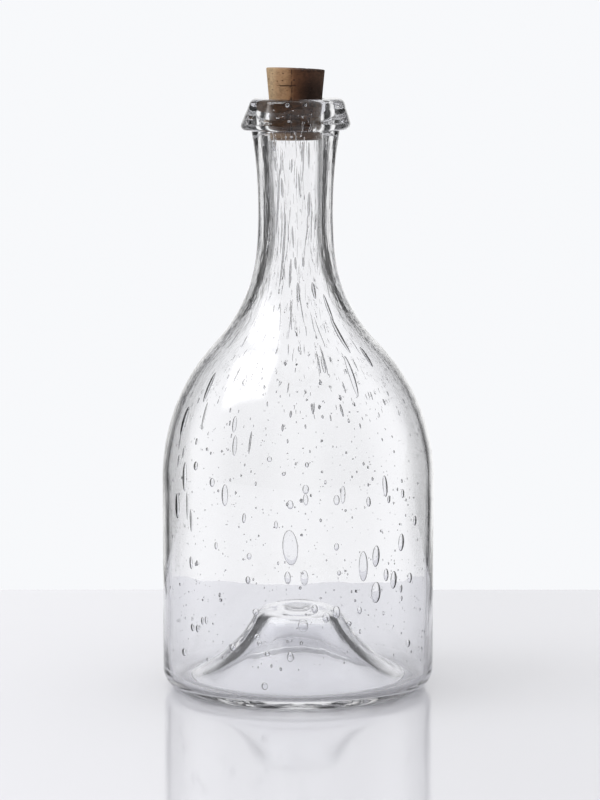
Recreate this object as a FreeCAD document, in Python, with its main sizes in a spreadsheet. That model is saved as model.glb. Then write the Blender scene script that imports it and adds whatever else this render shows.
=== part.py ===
import FreeCAD, Part
import math
import os
import re
import Sketcher

# A hand-blown glass bottle closed by a tapered cork. Millimetres, +Z up, origin at the
# middle of the foot ring. Both pieces are turned about Z, apart from the cork's slanted top.

doc = FreeCAD.newDocument("CorkedBottle")

# Every size that can be set by itself. Heights are from the table, drops are from the lip.
sizes = {
    "bodyRadius": (55.0, "outside of the straight body"),
    "bodyWall": (2.3, "glass of body and shoulder"),
    "heelRounding": (8.0, "outside rounding between body and foot ring"),
    "shoulderHeight": (85.5, "where the straight body ends"),
    "shoulderRounding": (80.0, "outside radius of the shoulder's arc"),
    "lipHeight": (239.0, "top of the collar"),
    "boreRadius": (10.2, "bore at its narrow end"),
    "boreFlare": (0.65, "how much wider the bore is at the lip"),
    "boreDrop": (51.0, "from the lip down to the narrow end of the bore"),
    "mouthRounding": (1.2, "rounded inner edge of the mouth"),
    "neckWall": (4.8, "glass of the neck at its thinnest"),
    "neckSweep": (185.0, "radius of the neck's slight waist"),
    "waistDrop": (45.0, "from the lip down to the neck's waist"),
    "throatDrop": (61.0, "from the lip down to where the neck turns into the shoulder"),
    "collarDrop": (12.6, "from the lip down to the collar's underside"),
    "collarFlare": (5.0, "collar beyond the neck at its foot, before rounding"),
    "collarTopFlare": (0.8, "collar beyond the neck at the lip, before rounding"),
    "collarFootRounding": (2.2, "rounded lower edge of the collar"),
    "collarTopRounding": (2.4, "rounded upper edge of the collar"),
    "collarRootRounding": (0.8, "where the collar's underside meets the neck"),
    "floorThickness": (4.5, "glass under the lowest part of the floor"),
    "valleyRounding": (4.0, "floor's valley between wall and punt"),
    "puntHeight": (33.5, "top of the punt, inside the bottle"),
    "puntFlat": (8.5, "flat middle of the punt's top"),
    "puntEdge": (12.0, "rounding around the punt's top"),
    "puntSweep": (46.0, "radius of the punt's hollow flank"),
    "crownThickness": (5.0, "glass at the top of the punt"),
    "hollowFlat": (9.0, "flat top of the hollow underneath"),
    "hollowEdge": (6.0, "rounding around the hollow's flat top"),
    "skirtRise": (20.3, "slope of the hollow's skirt where it leaves the foot ring, in degrees"),
    "ringWidth": (5.0, "foot ring, from the heel's rounding inwards"),
    "ringRounding": (2.0, "rounded inner edge of the foot ring"),
    "pontilRadius": (5.5, "button of glass left by the pontil rod"),
    "pontilDepth": (1.4, "how far the button hangs down"),
    "corkDepth": (15.4, "cork inside the neck"),
    "corkStand": (12.3, "cork above the lip, at its tall side"),
    "corkFlare": (1.0, "how much wider the cork's head is than its squeezed part"),
    "corkSlant": (2.2, "slope of the cork's cut top, in degrees"),
    "corkGap": (0.1, "clearance between cork and bore"),
    "corkChamfer": (0.5, "worn lower edge of the cork"),
}

sheet = doc.addObject("Spreadsheet::Sheet", "Sizes")
for row, (name, (value, note)) in enumerate(sizes.items(), start=1):
    sheet.set(f"A{row}", name)
    sheet.set(f"B{row}", str(value))
    sheet.set(f"C{row}", note)
    sheet.setAlias(f"B{row}", name)
doc.recompute()

# Sizes that follow from those above, as rules that both size() and the sketches read.
wallRadius = "(bodyRadius - bodyWall)"
footRadius = "(bodyRadius - heelRounding)"
ringRadius = "(bodyRadius - heelRounding - ringWidth)"
waistRadius = "(boreRadius + neckWall)"
waistHeight = "(lipHeight - waistDrop)"
mouthRadius = "(boreRadius + boreFlare)"
collarHeight = "(lipHeight - collarDrop)"
rootRadius = f"({waistRadius} + neckSweep - sqrt(neckSweep ^ 2 - (waistDrop - collarDrop) ^ 2))"
roofHeight = "(puntHeight - crownThickness)"
skirtReach = f"({ringRadius} - hollowFlat)"
skirtDrop = f"({roofHeight} - hollowEdge)"
# Radius of the arc that leaves the foot ring at the skirt's slope and touches the roof's rounding.
skirtSweep = (f"(({skirtReach} ^ 2 + {skirtDrop} ^ 2 - hollowEdge ^ 2) / (2 * (hollowEdge"
              f" - {skirtReach} * sin(skirtRise * 1deg) + {skirtDrop} * cos(skirtRise * 1deg))))")
gripRadius = f"({mouthRadius} - corkGap)"
corkFootRadius = f"({gripRadius} - boreFlare * corkDepth / boreDrop)"
corkHeadRadius = f"({gripRadius} + corkFlare)"
corkTop = "(lipHeight + corkStand)"


def size(rule):
    return float(sheet.evalExpression(rule))


def bound(rule):
    # The same rule as the sketches write it, with each size found in the sheet.
    return re.sub(r"[a-z]+[A-Z]\w*", lambda word: "Sizes." + word[0], rule)


def newBody(label):
    body = doc.addObject("PartDesign::Body", label)
    body.Label = label
    return body


def newSketch(body, name):
    # On the body's own XZ plane: the sketch's x is the radius, its y is the height.
    sketch = body.newObject("Sketcher::SketchObject", name)
    plane = [item for item in body.Origin.OriginFeatures if item.Role == "XZ_Plane"][0]
    sketch.AttachmentSupport = [(plane, "")]
    sketch.MapMode = "FlatFace"
    return sketch


# Point codes of the sketcher, its origin and its vertical axis.
start, end, centre = 1, 2, 3
origin = (-1, 1)
upright = -2


def line(sketch, first, last):
    ends = [FreeCAD.Vector(x, y, 0) for x, y in (first, last)]
    return sketch.addGeometry(Part.LineSegment(*ends), False)


def arc(sketch, middle, first, last):
    # Counter-clockwise from the first point to the last.
    radius = math.dist(middle, first)
    circle = Part.Circle(FreeCAD.Vector(*middle, 0), FreeCAD.Vector(0, 0, 1), radius)
    turn = [math.atan2(y - middle[1], x - middle[0]) % math.tau for x, y in (first, last)]
    return sketch.addGeometry(Part.ArcOfCircle(circle, *turn), False)


def hold(sketch, kind, *where):
    sketch.addConstraint(Sketcher.Constraint(kind, *where))


def drive(sketch, kind, where, rule):
    # A dimension that follows the sheet.
    number = sketch.addConstraint(Sketcher.Constraint(kind, *where, size(rule)))
    sketch.setExpression(f"Constraints[{number}]", bound(rule))


def place(sketch, where, radius=None, height=None):
    # Ties a point's distance from the axis and its height to the sheet.
    if radius is not None:
        drive(sketch, "DistanceX", (*origin, *where), radius)
    if height is not None:
        drive(sketch, "DistanceY", (*origin, *where), height)


def chain(sketch, *edges):
    # Closes a loop of straight edges, each from its start to its end.
    for first, second in zip(edges, edges[1:] + edges[:1]):
        hold(sketch, "Coincident", first, end, second, start)


def finish(sketch):
    doc.recompute()
    if sketch.solve() != 0 or not sketch.FullyConstrained:
        raise RuntimeError(f"{sketch.Name} is not fully constrained")


def spin(body, kind, name, sketch):
    # A full turn about the sketch's vertical axis, as a Revolution or a Groove.
    before = body.Shape.Volume if body.Tip else 0
    feature = body.newObject("PartDesign::" + kind, name)
    feature.Profile = sketch
    feature.ReferenceAxis = (sketch, ["V_Axis"])
    feature.Angle = 360
    feature.Refine = True
    doc.recompute()
    if (feature.Shape.Volume < before) != (kind == "Groove"):
        raise RuntimeError(f"{name} changed the volume the wrong way")


def rim(shape, radius, height):
    # Name of the circular edge of that radius at that height.
    for number, edge in enumerate(shape.Edges, start=1):
        if edge.Degenerated or not isinstance(edge.Curve, Part.Circle):
            continue
        if abs(edge.Curve.Radius - radius) < 0.01 and abs(edge.Curve.Center.z - height) < 0.01:
            return f"Edge{number}"
    raise RuntimeError(f"no rim of radius {radius} at {height}")


def dress(body, kind, name, radius, height, amount):
    # A fillet or chamfer on one rim.
    base = body.Tip
    feature = body.newObject("PartDesign::" + kind, name)
    feature.Base = (base, [rim(base.Shape, size(radius), size(height))])
    feature.setExpression("Radius" if kind == "Fillet" else "Size", bound(amount))
    feature.Refine = True
    doc.recompute()


# Plane geometry for the tangent arcs.


def towards(a, b, distance):
    share = distance / math.dist(a, b)
    return (a[0] + share * (b[0] - a[0]), a[1] + share * (b[1] - a[1]))


def crossing(a, aRadius, b, bRadius):
    # Where two circles cross, on the left of the way from a to b.
    apart = math.dist(a, b)
    along = (apart ** 2 + aRadius ** 2 - bRadius ** 2) / (2 * apart)
    off = math.sqrt(aRadius ** 2 - along ** 2)
    step = ((b[0] - a[0]) / apart, (b[1] - a[1]) / apart)
    return (a[0] + along * step[0] - off * step[1], a[1] + along * step[1] + off * step[0])


def throatCentre(bulge, bulgeRadius, joint, side):
    # Centre of the arc that leaves the joint square to the unit vector `side` and touches
    # the bulging arc from outside.
    reach = (joint[0] - bulge[0], joint[1] - bulge[1])
    along = reach[0] * side[0] + reach[1] * side[1]
    square = reach[0] ** 2 + reach[1] ** 2
    radius = (square - bulgeRadius ** 2) / (2 * (bulgeRadius - along))
    return (joint[0] + radius * side[0], joint[1] + radius * side[1])


def drawGlass(body):
    # The outside: foot, rounded heel, straight body, shoulder, throat and waisted neck.
    sketch = newSketch(body, "GlassOutline")
    heelCentre = (size(footRadius), size("heelRounding"))
    bodyEdge = (size("bodyRadius"), size("shoulderHeight"))
    shoulderCentre = (bodyEdge[0] - size("shoulderRounding"), bodyEdge[1])
    neckCentre = (size(waistRadius) + size("neckSweep"), size(waistHeight))
    root = (size(rootRadius), size(collarHeight))
    fall = size("throatDrop - waistDrop")
    joint = (neckCentre[0] - math.sqrt(size("neckSweep") ** 2 - fall ** 2), neckCentre[1] - fall)
    side = ((neckCentre[0] - joint[0]) / size("neckSweep"), fall / size("neckSweep"))
    middle = throatCentre(shoulderCentre, size("shoulderRounding"), joint, side)
    turn = towards(shoulderCentre, middle, size("shoulderRounding"))

    foot = line(sketch, (0, 0), (size(footRadius), 0))
    heel = arc(sketch, heelCentre, (size(footRadius), 0), (size("bodyRadius"), heelCentre[1]))
    wall = line(sketch, (size("bodyRadius"), heelCentre[1]), bodyEdge)
    shoulder = arc(sketch, shoulderCentre, bodyEdge, turn)
    throat = arc(sketch, middle, joint, turn)
    neck = arc(sketch, neckCentre, root, joint)
    stem = line(sketch, root, (root[0], size("lipHeight")))
    top = line(sketch, (root[0], size("lipHeight")), (0, size("lipHeight")))
    axis = line(sketch, (0, size("lipHeight")), (0, 0))

    hold(sketch, "Coincident", foot, start, *origin)
    hold(sketch, "Horizontal", foot)
    hold(sketch, "Tangent", foot, end, heel, start)
    hold(sketch, "Tangent", heel, end, wall, start)
    hold(sketch, "Vertical", wall)
    hold(sketch, "Tangent", wall, end, shoulder, start)
    hold(sketch, "Tangent", shoulder, end, throat, end)
    hold(sketch, "Tangent", throat, start, neck, end)
    hold(sketch, "Coincident", neck, start, stem, start)
    hold(sketch, "Vertical", stem)
    hold(sketch, "Coincident", stem, end, top, start)
    hold(sketch, "Horizontal", top)
    hold(sketch, "Coincident", top, end, axis, start)
    hold(sketch, "Coincident", axis, end, foot, start)
    hold(sketch, "Vertical", axis)
    drive(sketch, "Radius", (heel,), "heelRounding")
    drive(sketch, "Radius", (shoulder,), "shoulderRounding")
    drive(sketch, "Radius", (neck,), "neckSweep")
    place(sketch, (wall, end), "bodyRadius", "shoulderHeight")
    place(sketch, (neck, centre), f"{waistRadius} + neckSweep", waistHeight)
    place(sketch, (neck, end), height="lipHeight - throatDrop")
    place(sketch, (neck, start), height=collarHeight)
    place(sketch, (top, end), height="lipHeight")
    finish(sketch)
    spin(body, "Revolution", "Blown", sketch)


def drawCollar(body):
    # The band of glass wound round the lip, begun inside the neck's own glass.
    sketch = newSketch(body, "CollarOutline")
    corners = [
        (waistRadius, collarHeight),
        (f"{rootRadius} + collarFlare", collarHeight),
        (f"{rootRadius} + collarTopFlare", "lipHeight"),
        (waistRadius, "lipHeight"),
    ]
    points = [(size(radius), size(height)) for radius, height in corners]
    edges = [line(sketch, first, last) for first, last in zip(points, points[1:] + points[:1])]
    chain(sketch, *edges)
    for edge, (radius, height) in zip(edges, corners):
        place(sketch, (edge, start), radius, height)
    finish(sketch)
    spin(body, "Revolution", "Collar", sketch)


def cutCavity(body):
    # The inside: tapered bore, shoulder and body at the wall's thickness, valley and punt.
    sketch = newSketch(body, "CavityOutline")
    lip = (size(mouthRadius), size("lipHeight"))
    narrow = (size("boreRadius"), size("lipHeight - boreDrop"))
    length = math.dist(lip, narrow)
    side = ((lip[1] - narrow[1]) / length, (narrow[0] - lip[0]) / length)
    bodyEdge = (size(wallRadius), size("shoulderHeight"))
    shoulderCentre = (size("bodyRadius - shoulderRounding"), size("shoulderHeight"))
    middle = throatCentre(shoulderCentre, size("shoulderRounding - bodyWall"), narrow, side)
    turn = towards(shoulderCentre, middle, size("shoulderRounding - bodyWall"))
    valleyCentre = (size(wallRadius) - size("valleyRounding"), size("floorThickness + valleyRounding"))
    edgeCentre = (size("puntFlat"), size("puntHeight - puntEdge"))
    sweepCentre = crossing(edgeCentre, size("puntSweep + puntEdge"),
                           valleyCentre, size("puntSweep - valleyRounding"))
    flankTop = towards(edgeCentre, sweepCentre, size("puntEdge"))
    flankFoot = towards(sweepCentre, valleyCentre, size("puntSweep"))
    crownEdge = (size("puntFlat"), size("puntHeight"))

    mouth = line(sketch, (0, lip[1]), lip)
    bore = line(sketch, lip, narrow)
    throat = arc(sketch, middle, narrow, turn)
    shoulder = arc(sketch, shoulderCentre, bodyEdge, turn)
    wall = line(sketch, bodyEdge, (bodyEdge[0], valleyCentre[1]))
    valley = arc(sketch, valleyCentre, flankFoot, (bodyEdge[0], valleyCentre[1]))
    flank = arc(sketch, sweepCentre, flankTop, flankFoot)
    edge = arc(sketch, edgeCentre, flankTop, crownEdge)
    crown = line(sketch, crownEdge, (0, crownEdge[1]))
    axis = line(sketch, (0, crownEdge[1]), (0, lip[1]))

    hold(sketch, "Coincident", axis, end, mouth, start)
    hold(sketch, "Horizontal", mouth)
    hold(sketch, "Coincident", mouth, end, bore, start)
    hold(sketch, "Tangent", bore, end, throat, start)
    hold(sketch, "Tangent", throat, end, shoulder, end)
    hold(sketch, "Tangent", shoulder, start, wall, start)
    hold(sketch, "Vertical", wall)
    hold(sketch, "Tangent", wall, end, valley, end)
    hold(sketch, "Tangent", valley, start, flank, end)
    hold(sketch, "Tangent", flank, start, edge, start)
    hold(sketch, "Tangent", edge, end, crown, start)
    hold(sketch, "Horizontal", crown)
    hold(sketch, "Coincident", crown, end, axis, start)
    hold(sketch, "PointOnObject", axis, start, upright)
    hold(sketch, "PointOnObject", axis, end, upright)
    drive(sketch, "Radius", (shoulder,), "shoulderRounding - bodyWall")
    drive(sketch, "Radius", (valley,), "valleyRounding")
    drive(sketch, "Radius", (flank,), "puntSweep")
    drive(sketch, "Radius", (edge,), "puntEdge")
    place(sketch, (mouth, end), mouthRadius, "lipHeight")
    place(sketch, (bore, end), "boreRadius", "lipHeight - boreDrop")
    place(sketch, (wall, start), wallRadius, "shoulderHeight")
    place(sketch, (valley, centre), height="floorThickness + valleyRounding")
    place(sketch, (crown, start), "puntFlat", "puntHeight")
    finish(sketch)
    spin(body, "Groove", "Cavity", sketch)


def cutHollow(body):
    # The hollow pushed up from beneath: a flaring skirt, and a flat roof with the button of
    # glass that the pontil rod left.
    sketch = newSketch(body, "HollowOutline")
    ringEdge = (size(ringRadius), 0)
    roof = size(roofHeight)
    edgeCentre = (size("hollowFlat"), roof - size("hollowEdge"))
    sweepCentre = crossing(edgeCentre, size(f"{skirtSweep} + hollowEdge"), ringEdge, size(skirtSweep))
    skirtTop = towards(edgeCentre, sweepCentre, size("hollowEdge"))
    pontilSphere = size("(pontilRadius ^ 2 + pontilDepth ^ 2) / (2 * pontilDepth)")
    pontilFoot = (0, roof - size("pontilDepth"))
    pontilEdge = (size("pontilRadius"), roof)

    ground = line(sketch, (0, 0), ringEdge)
    skirt = arc(sketch, sweepCentre, skirtTop, ringEdge)
    edge = arc(sketch, edgeCentre, skirtTop, (edgeCentre[0], roof))
    flat = line(sketch, (edgeCentre[0], roof), pontilEdge)
    pontil = arc(sketch, (0, pontilFoot[1] + pontilSphere), pontilFoot, pontilEdge)
    axis = line(sketch, pontilFoot, (0, 0))

    hold(sketch, "Coincident", ground, start, *origin)
    hold(sketch, "Horizontal", ground)
    hold(sketch, "Coincident", ground, end, skirt, end)
    hold(sketch, "Tangent", skirt, start, edge, start)
    hold(sketch, "Tangent", edge, end, flat, start)
    hold(sketch, "Horizontal", flat)
    hold(sketch, "Coincident", flat, end, pontil, end)
    hold(sketch, "Coincident", pontil, start, axis, start)
    hold(sketch, "PointOnObject", pontil, centre, upright)
    hold(sketch, "PointOnObject", axis, start, upright)
    hold(sketch, "Coincident", axis, end, ground, start)
    drive(sketch, "Radius", (skirt,), skirtSweep)
    drive(sketch, "Radius", (edge,), "hollowEdge")
    place(sketch, (ground, end), ringRadius)
    place(sketch, (flat, start), "hollowFlat", roofHeight)
    place(sketch, (flat, end), "pontilRadius")
    place(sketch, (axis, start), height=f"{roofHeight} - pontilDepth")
    finish(sketch)
    spin(body, "Groove", "Hollow", sketch)


def makeBottle():
    body = newBody("glass_bottle")
    drawGlass(body)
    drawCollar(body)
    cutCavity(body)
    cutHollow(body)
    dress(body, "Fillet", "CollarTop", f"{rootRadius} + collarTopFlare", "lipHeight", "collarTopRounding")
    dress(body, "Fillet", "CollarFoot", f"{rootRadius} + collarFlare", collarHeight, "collarFootRounding")
    dress(body, "Fillet", "CollarRoot", rootRadius, collarHeight, "collarRootRounding")
    dress(body, "Fillet", "MouthEdge", mouthRadius, "lipHeight", "mouthRounding")
    dress(body, "Fillet", "RingEdge", ringRadius, "0", "ringRounding")
    return body


def turnCork(body):
    # Squeezed to the bore's taper inside the neck, and flaring to its own width above it.
    sketch = newSketch(body, "CorkOutline")
    corners = [
        ("0", "lipHeight - corkDepth"),
        (corkFootRadius, "lipHeight - corkDepth"),
        (gripRadius, "lipHeight"),
        (corkHeadRadius, corkTop),
        ("0", corkTop),
    ]
    points = [(size(radius), size(height)) for radius, height in corners]
    edges = [line(sketch, first, last) for first, last in zip(points, points[1:] + points[:1])]
    chain(sketch, *edges)
    hold(sketch, "PointOnObject", edges[0], start, upright)
    hold(sketch, "PointOnObject", edges[4], start, upright)
    for edge, (radius, height) in zip(edges, corners):
        place(sketch, (edge, start), None if radius == "0" else radius, height)
    finish(sketch)
    spin(body, "Revolution", "Turned", sketch)
    dress(body, "Chamfer", "FootEdge", corkFootRadius, "lipHeight - corkDepth", "corkChamfer")


def slantCork(body):
    # The knife cut across the top falls from the -X side to the +X side.
    sketch = newSketch(body, "SlantedCut")
    corners = [
        (f"-{corkHeadRadius}", corkTop),
        (corkHeadRadius, f"{corkTop} - 2 * {corkHeadRadius} * tan(corkSlant * 1deg)"),
        (corkHeadRadius, f"{corkTop} + corkStand"),
        (f"-{corkHeadRadius}", f"{corkTop} + corkStand"),
    ]
    points = [(size(radius), size(height)) for radius, height in corners]
    edges = [line(sketch, first, last) for first, last in zip(points, points[1:] + points[:1])]
    chain(sketch, *edges)
    for edge, (radius, height) in zip(edges, corners):
        place(sketch, (edge, start), radius, height)
    finish(sketch)
    before = body.Shape.Volume
    pocket = body.newObject("PartDesign::Pocket", "SlantedTop")
    pocket.Profile = sketch
    pocket.Type = "ThroughAll"
    pocket.SideType = "Symmetric"
    pocket.Refine = True
    doc.recompute()
    if pocket.Shape.Volume >= before:
        raise RuntimeError("the slanted cut took nothing away")


def makeCork():
    body = newBody("cork_stopper")
    turnCork(body)
    slantCork(body)
    return body


subParts = [makeBottle(), makeCork()]
doc.recompute()

for item in doc.Objects:
    if "Invalid" in item.State or "Error" in item.State:
        raise RuntimeError(f"{item.Name} failed: {item.State}")
for part in subParts:
    if part.Shape.isNull() or not part.Shape.isValid() or len(part.Shape.Solids) != 1:
        raise RuntimeError(f"{part.Label} is not one valid solid")

os.makedirs("parts", exist_ok=True)
for part in subParts:
    part.Shape.exportStep(f"parts/{part.Label}.step")
    print(part.Label, "volume", round(part.Shape.Volume / 1000, 1), "cm3")
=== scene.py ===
import math

import bpy
from mathutils import Matrix


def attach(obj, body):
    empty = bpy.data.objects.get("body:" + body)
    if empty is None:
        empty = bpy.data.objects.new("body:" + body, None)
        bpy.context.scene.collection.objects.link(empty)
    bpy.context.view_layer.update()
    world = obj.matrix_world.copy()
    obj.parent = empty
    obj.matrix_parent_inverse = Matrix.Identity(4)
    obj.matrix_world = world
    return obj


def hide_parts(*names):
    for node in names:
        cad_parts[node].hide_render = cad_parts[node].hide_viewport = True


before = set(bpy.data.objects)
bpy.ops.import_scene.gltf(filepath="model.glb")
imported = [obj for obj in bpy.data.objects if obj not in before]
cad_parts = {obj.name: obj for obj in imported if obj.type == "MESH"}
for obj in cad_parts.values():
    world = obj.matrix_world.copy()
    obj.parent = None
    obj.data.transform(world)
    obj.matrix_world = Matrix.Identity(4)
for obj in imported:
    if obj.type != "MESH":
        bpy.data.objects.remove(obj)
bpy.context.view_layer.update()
scene = bpy.context.scene
scene.view_settings.view_transform = "Standard"
scene.cycles.max_bounces = 32
scene.cycles.transmission_bounces = 32
scene.cycles.glossy_bounces = 12
print("frame loaded:", ", ".join(sorted(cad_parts)))


# Node trees, for materials and for geometry alike.


class Wire:
    # One socket of a tree. Arithmetic on it adds Math nodes to that tree.
    def __init__(self, net, socket):
        self.net, self.socket = net, socket

    def maths(self, operation, *values):
        values = [value if isinstance(value, Wire) else float(value) for value in values]
        return self.net.add("ShaderNodeMath", {"operation": operation}, dict(enumerate(values)))

    def __add__(self, other): return self.maths("ADD", self, other)
    def __radd__(self, other): return self.maths("ADD", other, self)
    def __sub__(self, other): return self.maths("SUBTRACT", self, other)
    def __rsub__(self, other): return self.maths("SUBTRACT", other, self)
    def __mul__(self, other): return self.maths("MULTIPLY", self, other)
    def __rmul__(self, other): return self.maths("MULTIPLY", other, self)
    def __truediv__(self, other): return self.maths("DIVIDE", self, other)
    def __rtruediv__(self, other): return self.maths("DIVIDE", other, self)
    def __pow__(self, other): return self.maths("POWER", self, other)
    def __neg__(self): return self.maths("MULTIPLY", self, -1)
    def __abs__(self): return self.maths("ABSOLUTE", self)

    def least(self, other): return self.maths("MINIMUM", self, other)
    def most(self, other): return self.maths("MAXIMUM", self, other)
    def sine(self): return self.maths("SINE", self)
    def cosine(self): return self.maths("COSINE", self)

    def out(self, name):
        # Another output of the same node.
        return Wire(self.net, self.net.outlet(self.socket.node, name))

    def rise(self, low, high):
        # 0 below low, 1 above high, smooth between. Falls if low is the larger.
        return self.net.add("ShaderNodeMapRange", {"interpolation_type": "SMOOTHSTEP"},
                            {"Value": self, "From Min": low, "From Max": high, "To Min": 0.0, "To Max": 1.0})


class Net:
    def __init__(self, tree):
        self.tree = tree

    def inlet(self, node, key):
        if isinstance(key, int):
            return node.inputs[key]
        for socket in node.inputs:
            if socket.identifier == key and socket.enabled:
                return socket
        return next(socket for socket in node.inputs if socket.name == key and socket.enabled)

    def outlet(self, node, name=None):
        return next(socket for socket in node.outputs
                    if socket.enabled and name in (None, socket.name, socket.identifier))

    def add(self, kind, settings=None, sockets=None, out=None):
        # Adds a node: its settings first, then what goes into its sockets. Gives back one output.
        node = self.tree.nodes.new(kind)
        for name, value in (settings or {}).items():
            if name == "stops":
                ramp = node.color_ramp.elements
                while len(ramp) < len(value):
                    ramp.new(0.5)
                for stop, (place, colour) in zip(ramp, value):
                    stop.position, stop.color = place, (*colour, 1.0)
            else:
                setattr(node, name, value)
        for key, value in (sockets or {}).items():
            socket = self.inlet(node, key)
            if isinstance(value, (list, tuple)) and isinstance(value[0], Wire):
                for wire in reversed(value):
                    self.tree.links.new(wire.socket, socket)
            elif isinstance(value, Wire):
                self.tree.links.new(value.socket, socket)
            elif socket.type == "RGBA":
                socket.default_value = (*value, 1.0)
            else:
                socket.default_value = value
        return Wire(self, self.outlet(node, out)) if node.outputs else node

    def mix(self, factor, first, second):
        # Two colours.
        return self.add("ShaderNodeMix", {"data_type": "RGBA", "blend_type": "MIX"},
                        {"Factor_Float": factor, "A_Color": first, "B_Color": second}, "Result_Color")

    def blend(self, factor, first, second):
        # Two numbers.
        return self.add("ShaderNodeMix", {"data_type": "FLOAT"},
                        {"Factor_Float": factor, "A_Float": first, "B_Float": second}, "Result_Float")

    def dot(self, first, second):
        return self.add("ShaderNodeVectorMath", {"operation": "DOT_PRODUCT"}, {0: first, 1: second}, "Value")

    def point(self, x, y, z):
        return self.add("ShaderNodeCombineXYZ", {}, {"X": x, "Y": y, "Z": z})

    def split(self, vector):
        x = self.add("ShaderNodeSeparateXYZ", {}, {"Vector": vector}, "X")
        return x, x.out("Y"), x.out("Z")

    def noise(self, vector, scale, detail=2.0, roughness=0.5):
        return self.add("ShaderNodeTexNoise", {"noise_dimensions": "3D"},
                        {"Vector": vector, "Scale": scale, "Detail": detail, "Roughness": roughness}, "Fac")

    def relief(self, height, strength, distance):
        return self.add("ShaderNodeBump", {}, {"Strength": strength, "Distance": distance, "Height": height})

    def cells(self, vector, scale):
        # Distance to the nearest of many scattered points.
        return self.add("ShaderNodeTexVoronoi", {"feature": "F1"},
                        {"Vector": vector, "Scale": scale}, "Distance")

    # The rest is for geometry trees.
    def named(self, name):
        return self.add("GeometryNodeInputNamedAttribute", {"data_type": "FLOAT"},
                        {"Name": name}, "Attribute")

    def chance(self, low, high, seed):
        return self.add("FunctionNodeRandomValue", {"data_type": "FLOAT"},
                        {"Min_001": low, "Max_001": high, "Seed": seed}, "Value_001")


def newMaterial(name):
    material = bpy.data.materials.new(name)
    material.use_nodes = True
    material.node_tree.nodes.clear()
    return material, Net(material.node_tree)


def atLeastOnce(lightPath, count):
    # 1 if that count of the light path, such as Diffuse Depth, is one or more.
    return lightPath.out(count).rise(0.2, 0.8)


def surface(net, **sockets):
    # A Principled shader on the material's output.
    shader = net.add("ShaderNodeBsdfPrincipled", {},
                     {key.replace("_", " "): value for key, value in sockets.items()})
    net.add("ShaderNodeOutputMaterial", {}, {"Surface": shader})


def newTree(name, inputs):
    # A geometry tree with named inputs: name: (kind, first value).
    tree = bpy.data.node_groups.new(name, "GeometryNodeTree")
    tree.interface.new_socket("Geometry", in_out="INPUT", socket_type="NodeSocketGeometry")
    tree.interface.new_socket("Geometry", in_out="OUTPUT", socket_type="NodeSocketGeometry")
    for label, (kind, value) in inputs.items():
        socket = tree.interface.new_socket(label, in_out="INPUT", socket_type="NodeSocket" + kind)
        if value is not None:
            socket.default_value = value
    net = Net(tree)
    source = net.add("NodeGroupInput")
    return tree, net, {label: source.out(label) for label in ("Geometry", *inputs)}


def endTree(net, geometry, material):
    # Every tree ends as real, smooth, painted faces.
    real = net.add("GeometryNodeRealizeInstances", {}, {"Geometry": geometry})
    smooth = net.add("GeometryNodeSetShadeSmooth", {}, {"Geometry": real})
    painted = net.add("GeometryNodeSetMaterial", {}, {"Geometry": smooth, "Material": material})
    net.add("NodeGroupOutput", {}, {"Geometry": painted})


def grown(name, start, tree, values):
    # Runs a tree on a starting mesh and keeps the result as a plain mesh object.
    modifier = start.modifiers.new(tree.name, "NODES")
    modifier.node_group = tree
    sockets = {item.name: item.identifier for item in tree.interface.items_tree if item.in_out == "INPUT"}
    for label, value in values.items():
        modifier[sockets[label]] = value
    start.update_tag()
    bpy.context.view_layer.update()
    seen = start.evaluated_get(bpy.context.evaluated_depsgraph_get())
    mesh = bpy.data.meshes.new_from_object(seen)
    mesh.name = name
    for number in reversed(range(len(mesh.materials))):
        if mesh.materials[number] is None:
            mesh.materials.pop(index=number)
    made = bpy.data.objects.new(name, mesh)
    scene.collection.objects.link(made)
    start.modifiers.clear()
    bpy.data.objects.remove(start)
    return made


def pathMesh(name, points, **attributes):
    # Points in order, joined by edges, with one number per point for each attribute.
    mesh = bpy.data.meshes.new(name)
    mesh.from_pydata(points, [(n, n + 1) for n in range(len(points) - 1)], [])
    for label, numbers in attributes.items():
        mesh.attributes.new(label, "FLOAT", "POINT").data.foreach_set("value", [float(n) for n in numbers])
    made = bpy.data.objects.new(name, mesh)
    scene.collection.objects.link(made)
    return made


# Outlines: half sections as lists of (radius, height), in millimetres.


def arcPoints(middle, radius, first, last, step):
    # Angles in degrees, from first to last, with a point about every `step` millimetres.
    count = max(3, round(abs(math.radians(last - first)) * radius / step))
    turns = [math.radians(first + (last - first) * n / count) for n in range(count + 1)]
    return [(middle[0] + radius * math.cos(t), middle[1] + radius * math.sin(t)) for t in turns]


def linePoints(first, last, step):
    count = max(1, round(math.dist(first, last) / step))
    return [(first[0] + (last[0] - first[0]) * n / count, first[1] + (last[1] - first[1]) * n / count)
            for n in range(count + 1)]


def bearing(middle, point):
    return math.degrees(math.atan2(point[1] - middle[1], point[0] - middle[0]))


def towards(a, b, distance):
    share = distance / math.dist(a, b)
    return (a[0] + share * (b[0] - a[0]), a[1] + share * (b[1] - a[1]))


def crossing(a, aRadius, b, bRadius):
    # Where two circles cross, on the left of the way from a to b.
    apart = math.dist(a, b)
    along = (apart ** 2 + aRadius ** 2 - bRadius ** 2) / (2 * apart)
    off = math.sqrt(aRadius ** 2 - along ** 2)
    step = ((b[0] - a[0]) / apart, (b[1] - a[1]) / apart)
    return (a[0] + along * step[0] - off * step[1], a[1] + along * step[1] + off * step[0])


def throatCentre(bulge, bulgeRadius, joint, side):
    # Centre of the arc that leaves the joint square to `side` and touches the bulging arc.
    reach = (joint[0] - bulge[0], joint[1] - bulge[1])
    along = reach[0] * side[0] + reach[1] * side[1]
    square = reach[0] ** 2 + reach[1] ** 2
    radius = (square - bulgeRadius ** 2) / (2 * (bulgeRadius - along))
    return (joint[0] + radius * side[0], joint[1] + radius * side[1])


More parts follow.
